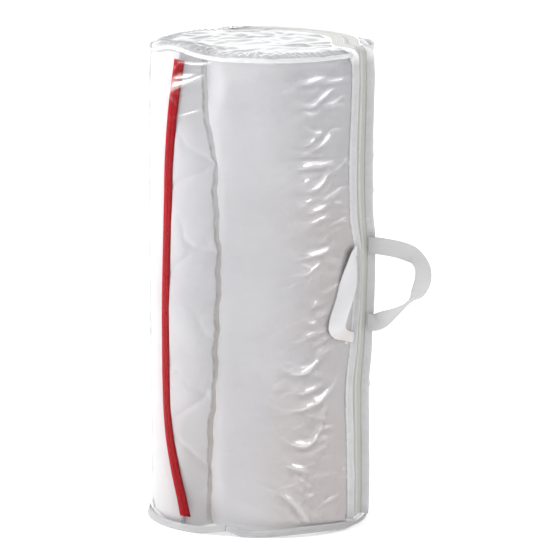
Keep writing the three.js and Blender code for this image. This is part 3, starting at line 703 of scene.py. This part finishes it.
def rim_fin(name, start, end):
    """The rim's binding stands nearly upright and is puckered by its sewing. Past the
    band it sticks up as a bell-shaped ear, and round the back it is half as tall."""
    angles = np.linspace(start, end, int((end - start) / 0.9))
    arc = np.radians(angles) * RIM_RADIUS
    ear = np.exp(-(((angles - 84) / 12) ** 2))
    laid = ease((angles - 105) / 30) * ease((325 - angles) / 40)
    tall = RIM_TALL * (1 + 0.7 * ear - 0.5 * laid) + 0.0006 * waves(31, 6, 0.02, 0.09, arc, arc * 0)
    radius = wall_radius(angles, RIM_HEIGHT) - 0.0002 + 0.0007 * waves(32, 6, 0.03, 0.12, arc, arc * 0)
    return loop_fin(name, angles, (radius, RIM_HEIGHT + 0.0006 + angles * 0), 4, tall, 0.0026)


rim_front = rim_fin("front_rim_binding", RIM_JOIN, RIM_BAND - SEAM_TURN)
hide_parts("binding_rim_front")
rim_rear = rim_fin("rear_rim_binding", RIM_BAND + SEAM_TURN, RIM_JOIN + 359.5)
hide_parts("binding_rim_rear")

# The foot's binding stands on the floor, out from the wall, and leans in to it. It
# is lifted where its two ends meet and again before the band, and past the band
# it is low and close to the wall.
FOOT_JOINT, FOOT_TALL = -17, 0.0106
angles = FOOT_JOINT + np.linspace(0.4, 359.6, 420)
off = wrapped(angles - FOOT_JOINT)
lift = 0.007 * np.exp(-((off / np.where(off < 0, 10, 5)) ** 2))
lift = lift + 0.004 * np.exp(-(((angles - 28) / 20) ** 2))
past_band = ease((angles - 48) / 14) * ease((200 - angles) / 30)
root = wall_radius(angles, 0.0122 + lift) + 0.005 - 0.0062 * past_band
tall = FOOT_TALL * (1 - 0.6 * past_band)
foot_binding = loop_fin("foot_binding", angles, (root, 0.0006 + lift), -15, tall, 0.003)
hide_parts("binding_base")

binding_cloth = Finish("binding_tape", roughness=0.7, sheen_weight=0.2)
u, v, _ = binding_cloth.split(binding_cloth.place("UV"))
z = binding_cloth.split(binding_cloth.place())[2]
# The bindings are darker near the floor. Painted light: they are paler at the rim and above, where the
# light falls on them from above.
low, high = 1 - z.between(0.008, 0.03), z.between(0.682, 0.694)
tone = binding_cloth.blend(binding_cloth.noise(60), (0.56, 0.56, 0.57), (0.66, 0.66, 0.67))
tone = binding_cloth.blend(low, tone, (0.48, 0.48, 0.49))
tone = binding_cloth.blend(high, tone, (0.84, 0.84, 0.85))
weave = (v * 2500).sine() * 0.25 + (u * 2500).sine() * 0.25 + 0.5
weave = binding_cloth.relief(weave, 0.0003, binding_cloth.relief(binding_cloth.noise(120), 0.0008))
binding_cloth.fill(binding_cloth.shader, {"Base Color": tone, "Normal": weave})
binding_cloth.wear(front_fin, rear_fin, rim_front, rim_rear, foot_binding)


# The handles. Flat white webbing, both ends caught in a side seam of the band.
# The front one droops and folds, and the rear one stands out as a loop.
WEBBING, WEBBING_THICK = 0.025, 0.0014
HANDLE_COLUMNS, HANDLE_ROWS = 15, 220
FRONT_HANDLE = [
    # x, y and z in millimetres, then the way its width lies
    (139.4, -98.3, 412, 0, 0, 1),
    (137.5, -102, 411.5, 0, 0, 1),
    (134.7, -108.5, 406, -0.2, -0.1, 0.95),
    (131.8, -114.5, 390.5, -0.62, -0.2, 0.65),
    (126.8, -122.5, 366, -0.9, 0.1, 0.28),
    (120.2, -130, 341.5, -0.92, 0.3, 0.12),
    (113, -135, 318, -0.97, 0.2, 0),
    (111.2, -135.6, 305, -0.95, 0.1, -0.3),
    (113.6, -132, 299.5, -0.7, 0, -0.7),
    (118.2, -126.5, 296, -0.3, 0, -0.95),
    (124, -118.5, 292, -0.05, 0, -1),
    (130.5, -110, 288, 0, 0, -1),
    (135.2, -103.4, 286, 0, 0, -1),
]
REAR_HANDLE = [
    (157.2, -65, 414.5, 0, 0, 1),
    (168, -69.5, 414.5, 0, 0, 1),
    (181, -73, 413.2, 0, 0, 1),
    (198, -76, 410.5, 0.1, 0, 1),
    (211, -79, 407, 0.25, 0.1, 0.96),
    (223, -81, 401.5, 0.5, 0.55, 0.67),
    (232, -83, 391.5, 0.85, 0.5, 0.15),
    (236, -85, 379, 0.93, 0.3, -0.2),
    (234.5, -86, 363, 0.95, 0.25, -0.15),
    (226.5, -85, 345, 0.85, 0.5, 0.1),
    (216, -83, 334, 0.4, 0.9, -0.1),
    (200, -80, 321.7, 0, 0.8, -0.6),
    (184, -77, 311, 0, 0.45, -0.9),
    (169, -71.5, 302, 0, 0, -1),
    (156.4, -66.8, 301.5, 0, 0, -1),
]


def handle(name, rows, bunched=0):
    """Webbing carried along the smooth path through the rows, turned so that its
    width lies the way each row gives. Its edges thin out like a flat cushion's, and
    it narrows by bunched at both ends."""
    rows = np.array(rows)
    path = rows[:, :3] / 1000
    step = np.concatenate([[0], np.cumsum(np.sqrt(np.linalg.norm(np.diff(path, axis=0), axis=1)))])
    at = np.linspace(0, step[-1], HANDLE_ROWS)
    points = np.stack([through(np.stack([step, path[:, k]], -1), at) for k in range(3)], -1)
    wide = np.stack([through(np.stack([step, rows[:, 3 + k]], -1), at) for k in range(3)], -1)
    ahead = unit(np.gradient(points, axis=0))
    wide = unit(wide - ahead * np.sum(wide * ahead, 1, keepdims=True))
    thick = np.cross(ahead, wide)
    share = np.linspace(0, 1, HANDLE_ROWS)[:, None]
    wide *= 1 - bunched * (ease((share - 0.68) / 0.22) + 1 - ease((share - 0.12) / 0.24))
    across = there_and_back(np.linspace(-0.5, 0.5, HANDLE_COLUMNS))
    face = np.repeat([1, -1], HANDLE_COLUMNS) * (1 - 0.6 * (2 * np.abs(across)) ** 12)
    to_edge = wide[:, None] * across[None, :, None] * WEBBING
    to_face = thick[:, None] * face[None, :, None] * WEBBING_THICK / 2
    grid = points[:, None] + to_edge + to_face
    along = run_length(points)[:, None]
    piece = grid_mesh(name, grid, across[None] * WEBBING, along, closed=True, caps=(0, 1))
    return piece


front_handle = handle("front_handle_webbing", FRONT_HANDLE, bunched=0.38)
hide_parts("handle_front")
rear_handle = handle("rear_handle_webbing", REAR_HANDLE)
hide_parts("handle_rear")

# Painted light: the front handle, at x below 0.15, is painted paler than the rear one,
# as it faces the light. Painted shade: its lower fold is yellower, a warm shade.
webbing = Finish("webbing", roughness=0.72, sheen_weight=0.15)
u, v, _ = webbing.split(webbing.place("UV"))
rib = ((v + (u * 360).zigzag() * 0.0014) * 3100).sine() * 0.5 + 0.5
x, _, z = webbing.split(webbing.place())
painted_front_light = (0.15 - x).between(0, 0.006)
painted_fold_shade = painted_front_light * (0.304 - z).between(0, 0.01)
tone = webbing.blend(rib, (0.56, 0.56, 0.56), (0.66, 0.66, 0.66))
tone = webbing.blend(painted_front_light, tone, (0.745, 0.745, 0.76))
tone = webbing.blend(painted_fold_shade * 0.5, tone, (0.70, 0.65, 0.58))
webbing.fill(webbing.shader, {"Base Color": tone, "Normal": webbing.relief(rib, 0.00035)})
webbing.wear(front_handle, rear_handle)


# The bag's clear film. Soft glossy sheet, a third of a millimetre thick: a wrap
# round the side, sewn into the band's two seams, a top and a foot. It is creased
# from packing, most of all between the loose end and the band.
FOLDS = [
    # angle, height, half length, width, rise, lean in degrees, bend
    (24, 0.664, 0.013, 0.0036, 0.0016, 4, -8),
    (32, 0.641, 0.019, 0.0034, 0.0016, 33, 0),
    (26, 0.579, 0.013, 0.0036, 0.0017, 30, -8),
    (33.5, 0.577, 0.017, 0.0036, 0.0015, 26, 0),
    (22.5, 0.543, 0.012, 0.0040, 0.0016, 4, -8),
    (32, 0.544, 0.018, 0.0036, 0.0013, 6, 0),
    (22, 0.521, 0.008, 0.0034, 0.0016, 12, -10),
    (28.5, 0.511, 0.022, 0.0038, 0.0018, 20, -14),
    (23, 0.492, 0.009, 0.0032, 0.0016, 14, -8),
    (29, 0.479, 0.018, 0.0034, 0.0016, 9, -6),
    (29, 0.463, 0.014, 0.0032, 0.0015, 13, 0),
    (27, 0.414, 0.022, 0.0036, 0.0016, 7, 0),
    (24, 0.389, 0.020, 0.0038, 0.0017, 20, -12),
    (28, 0.341, 0.007, 0.0032, 0.0015, 30, 0),
    (22, 0.243, 0.024, 0.0048, 0.0026, 9, -18),
    (25, 0.214, 0.018, 0.0036, 0.0019, 12, -8),
    (28, 0.194, 0.036, 0.0042, 0.0025, 21, -6),
    (25, 0.136, 0.026, 0.0048, 0.0029, 16, -20),
    (18.5, 0.103, 0.018, 0.0036, 0.0022, -18, 0),
    (16, 0.055, 0.040, 0.0036, 0.0018, -38, 5),
]
LONGER, WIDER, TALLER = 1.15, 1.25, 1.35
FLAP_FOLDS = [
    # angle, height, half length, lean in degrees
    (-34, 0.6835, 0.04, 13),
    (-40, 0.6135, 0.028, 17),
    (-50, 0.668, 0.012, 38),
    (-52, 0.633, 0.012, -34),
]
FLAP_FOLD_WIDTH, FLAP_FOLD_RISE, FLAP_FOLD_BEND = 0.0022, 0.0020, -2
CREASES = [
    # seed, count, zone across and up, then ranges of half length, width, rise and lean
    (42, 84, (0.028, 0.135, 0.04, 0.675), (0.007, 0.028), (0.0024, 0.005), (0.0004, 0.0015), (-12, 38)),
    (48, 8, (0.03, 0.115, 0.255, 0.32), (0.02, 0.05), (0.0024, 0.0036), (0.0005, 0.0011), (5, 24)),
    (44, 6, (0.0, 0.09, 0.02, 0.1), (0.02, 0.05), (0.0025, 0.004), (0.0003, 0.0008), (-48, -25)),
    (49, 9, (-0.14, -0.05, 0.50, 0.66), (0.010, 0.034), (0.0016, 0.0026), (0.0006, 0.0013), (2, 26)),
    (55, 60, (0.20, 0.5, 0.03, 0.68), (0.012, 0.04), (0.0026, 0.0055), (0.0004, 0.0014), (-40, 30)),
    (56, 50, (-0.5, -0.24, 0.03, 0.68), (0.012, 0.04), (0.0026, 0.0055), (0.0004, 0.0014), (-30, 40)),
]
DENTS = (45, 80, (-0.5, 0.5, 0.02, 0.68), (0.012, 0.035), (0.004, 0.008), (0.0002, 0.0006), (-40, 40))
TENT_TIP, TENT_UPPER, TENT_LOWER = (-0.0697, 0.6765), (-0.1357, 0.664), (-0.146, 0.641)
TENT_RISE = 0.0052


def fold(across, along, place, long, wide, rise, lean, bend):
    """A raised fold about a place, with a hollow under it: bell-shaped along it, so
    long, and across it, so wide, leaning up to the right by lean degrees, and bent
    like a bow."""
    lean = math.radians(lean)
    s, t = across - place[0], along - place[1]
    run = s * math.cos(lean) + t * math.sin(lean)
    off = (t * math.cos(lean) - s * math.sin(lean) + bend * run**2) / wide
    return rise * np.exp(-((run / long) ** 2)) * (np.exp(-(off**2)) - 0.6 * np.exp(-((off + 1.6) ** 2)))


def creases(across, along, seed, count, zone, *ranges):
    """Folds as long, wide, tall and leaning as their ranges say, each somewhere in the
    zone (low, high across; low, high along), one to each level of it."""
    rng = np.random.default_rng(seed)
    total = 0
    for k in range(count):
        place_across = rng.uniform(zone[0], zone[1])
        place_along = zone[2] + (zone[3] - zone[2]) * ((k + rng.uniform(0, 1)) / count)
        shape = [rng.uniform(*ends) for ends in (*ranges, (-6, 6))]
        total = total + fold(across, along, (place_across, place_along), *shape)
    return total


def tent(across, along, tip, upper, lower, rise):
    """A three-cornered facet between two lines from its tip. It stands out most along
    the lower line and lies down at the upper one."""
    run = (tip[0] - across) / (tip[0] - lower[0])
    low = tip[1] + (lower[1] - tip[1]) * run
    high = tip[1] + (upper[1] - tip[1]) * run
    place = (along - low) / np.maximum(high - low, 1e-4)
    inside = np.where(place > 0, np.clip(1 - place, 0, 1), np.exp(-(((along - low) / 0.002) ** 2)))
    return rise * np.clip(run, 0, 1) * inside * ease((1.25 - run) / 0.25)


# The wrap's grid starts at the band's rear seam. The first 36 hundredths of its
# columns go over the back, 63 hundredths of the way round, and the rest over the
# front. The film is milky where its folds stand high.
WRAP_COLUMNS, WRAP_ROWS = 300, 330
BACK_COLUMNS, BACK_TURN = 0.36, 0.63
WRAP_GAP = 0.0003
WRAP_SEAM = 0.0196
DEEPEST, HIGHEST = -0.0012, 0.0056
WHITEST_RISE = 0.0032
PUCKER, SEAM_PUCKER_PITCH = 0.0006, 0.013
CROSSINGS = (0.451, 0.387)

height = np.linspace(FILM + WRAP_GAP, RIM_HEIGHT - WRAP_GAP, WRAP_ROWS)[:, None]
middle = band_angle(height)
turn = np.degrees(WRAP_SEAM / wall_radius(middle, height))
step = np.interp(np.linspace(0, 1, WRAP_COLUMNS), [0, BACK_COLUMNS, 1], [0, BACK_TURN, 1])[None, :]
angle = middle + turn + (360 - 2 * turn) * step
arc = np.radians(wrapped(angle)) * BAG_RADIUS
seam_gap = np.minimum(angle - middle - turn, middle + 360 - turn - angle) * math.radians(1) * BAG_RADIUS
calm = ease(seam_gap / 0.012)

folds = tent(arc, height, TENT_TIP, TENT_UPPER, TENT_LOWER, TENT_RISE)
for at_angle, at_height, long, wide, rise, lean, bend in FOLDS:
    place = (math.radians(at_angle) * BAG_RADIUS, at_height)
    folds = folds + fold(arc, height, place, long * LONGER, wide * WIDER, rise * TALLER, lean, bend)
for at_angle, at_height, long, lean in FLAP_FOLDS:
    place = (math.radians(at_angle) * BAG_RADIUS, at_height)
    folds = folds + fold(arc, height, place, long, FLAP_FOLD_WIDTH, FLAP_FOLD_RISE, lean, FLAP_FOLD_BEND)
for row in CREASES:
    folds = folds + creases(arc, height, *row)
film = 0.0005 * waves(41, 10, 0.06, 0.2, arc, height) + folds + creases(arc, height, *DENTS)
for crossing in CROSSINGS:
    ridge = np.exp(-(((height - crossing + 0.02 * arc) / 0.003) ** 2))
    film = film + 0.0006 * ridge * ease((arc + 0.06) / 0.05)
sway = 1.5 * waves(46, 4, 0.04, 0.15, height, height * 0)
pucker = PUCKER * np.sin(2 * math.pi * height / SEAM_PUCKER_PITCH + sway)
film = np.clip(film, DEEPEST, HIGHEST) * calm + pucker * np.exp(-((seam_gap / 0.014) ** 2)) * calm
wrap_points = with_corner(around(angle, wall_radius(angle, height) - 0.0003 + film, height))
wrap = grid_mesh("clear_wrap", wrap_points, arc, height)
whitened = np.clip(folds / WHITEST_RISE, 0, 1) * calm
wrap.data.attributes.new("whitened", "FLOAT", "POINT").data.foreach_set("value", whitened.ravel())
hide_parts("bag_wrap")

# The top falls to the rim at its edge, less so beside the band, and is gathered
# just inside it.
TOP_COLUMNS, TOP_RINGS = 720, 110
TOP_HEIGHT, TOP_INSET = 0.7036, 0.0018
SHOULDER, SHOULDER_FALL = 0.145, 0.009
GATHERS, GATHER_RADIUS = 88, 0.16
TOP_ZONE = (-0.15, 0.15, -0.15, 0.15)
TOP_CREASES = (52, 60, TOP_ZONE, (0.015, 0.05), (0.004, 0.009), (0.0005, 0.0013), (-70, 70))

share = np.linspace(0.004, 1, TOP_RINGS)[:, None]
angle = np.linspace(0, 360, TOP_COLUMNS, endpoint=False)[None, :]
reach = wall_radius(angle, RIM_HEIGHT) - TOP_INSET
radius = reach * share
x, y = radius * np.sin(np.radians(angle)), -radius * np.cos(np.radians(angle))
fall = SHOULDER_FALL * np.clip((radius - SHOULDER) / (reach - SHOULDER), 0, 1) ** 2
fall = fall * (1 - 0.65 * np.exp(-(((angle - 55) / 9) ** 2)))
arc = np.radians(angle) * GATHER_RADIUS
ripple = np.radians(angle) * GATHERS + 3.5 * waves(51, 6, 0.05, 0.3, arc, share * 0.1)
gather = np.sin(ripple) * np.exp(-(((share - 0.89) / 0.07) ** 2))
gather = gather * (0.7 + 0.5 * waves(54, 4, 0.05, 0.2, arc, 0))
crumple = 0.0008 * waves(53, 9, 0.03, 0.12, x, y) + creases(x, y, *TOP_CREASES)
lie = TOP_HEIGHT - fall + 0.0014 * gather + crumple * ease((1 - share) / 0.12)
lie = np.maximum(lie, TOP_HEIGHT - 0.0014 - fall)
top_points = with_corner(np.stack([x, y, lie], -1))
top = grid_mesh("clear_top", top_points[::-1], x[::-1], y[::-1], closed=True, caps=(1,))
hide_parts("bag_top")

SEE_THROUGH = (0.975, 0.98, 0.985)


def film_finish(name, tone, cloud, roughness):
    """Clear film: see-through with a sheen that grows at a slant. cloud is how much
    of it is whitish even face on. Its folds are milkier, as bending whitens film."""
    film = Finish(name, metallic=0.9, roughness=roughness, base_color=(*tone, 1))
    crinkle = film.relief(film.noise(42, 3), 0.00025)
    film.fill(film.shader, {"Normal": crinkle})
    slant = film.node("ShaderNodeFresnel", None, {"IOR": 1.5, "Normal": crinkle})
    folded = film.node("ShaderNodeAttribute", {"attribute_name": "whitened"}, output="Fac")
    sheen = (slant * 1.9) ** 2.4 + folded**1.5 * 0.32 + cloud
    clear = film.node("ShaderNodeBsdfTransparent", None, {"Color": SEE_THROUGH})
    white = Wire(film, film.shader.outputs[0])
    mixed = film.node("ShaderNodeMixShader", None, {0: sheen, 1: clear, 2: white})
    film.fill(film.tree.nodes["Material Output"], {"Surface": mixed})
    return film


film_finish("clear_film", (0.97, 0.975, 0.98), 0.009, 0.19).wear(wrap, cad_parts["bag_base"])
film_finish("cloudy_film", (0.74, 0.745, 0.75), 0.34, 0.47).wear(top)

# The floor and the light: a white sweep, a wide soft light at the left, two lamps,
# left and right, that show in gloss alone, and a pale room that is brighter behind
# and above and darker at the right.
bpy.ops.mesh.primitive_plane_add(size=60)
floor = bpy.context.object
floor.name = "floor"
sweep = Finish("white_sweep", roughness=0.9, base_color=(0.9, 0.9, 0.9, 1))
sweep.fill(sweep.shader, {"Emission Color": (1, 1, 1), "Emission Strength": 0.3})
sweep.wear(floor)


def softbox(name, place, size, power, gloss_only=False):
    """A rectangular light that faces the roll's middle. One that is gloss_only shows
    in the film's gloss and adds no plain light."""
    light = bpy.data.lights.new(name, "AREA")
    light.shape, light.size, light.size_y, light.energy = "RECTANGLE", size[0], size[1], power
    lamp = bpy.data.objects.new(name, light)
    turn = (Vector((0, 0, 0.4)) - Vector(place)).to_track_quat("-Z", "Y").to_matrix().to_4x4()
    lamp.matrix_world = Matrix.Translation(place) @ turn
    lamp.visible_diffuse = not gloss_only
    bpy.context.collection.objects.link(lamp)


softbox("key", (-3.0, -0.5, 1.8), (1.6, 2.0), 58)
softbox("strip", (2.4, -1.1, 1.25), (2.4, 1.3), 68, gloss_only=True)
softbox("left_strip", (-2.5, -1.1, 1.7), (1.2, 0.9), 52, gloss_only=True)

world = bpy.data.worlds.new("room")
world.use_nodes = True
bpy.context.scene.world = world
room = Nodes(world.node_tree)
right, back, up = room.split(room.place("Generated"))
glow = 0.83 + 0.40 * back.between(0.3, 0.9) + 0.28 * up.between(0.2, 0.8) - 0.28 * right.between(0.1, 0.9)
room.fill(world.node_tree.nodes["Background"], {"Color": (1, 1, 1), "Strength": glow})
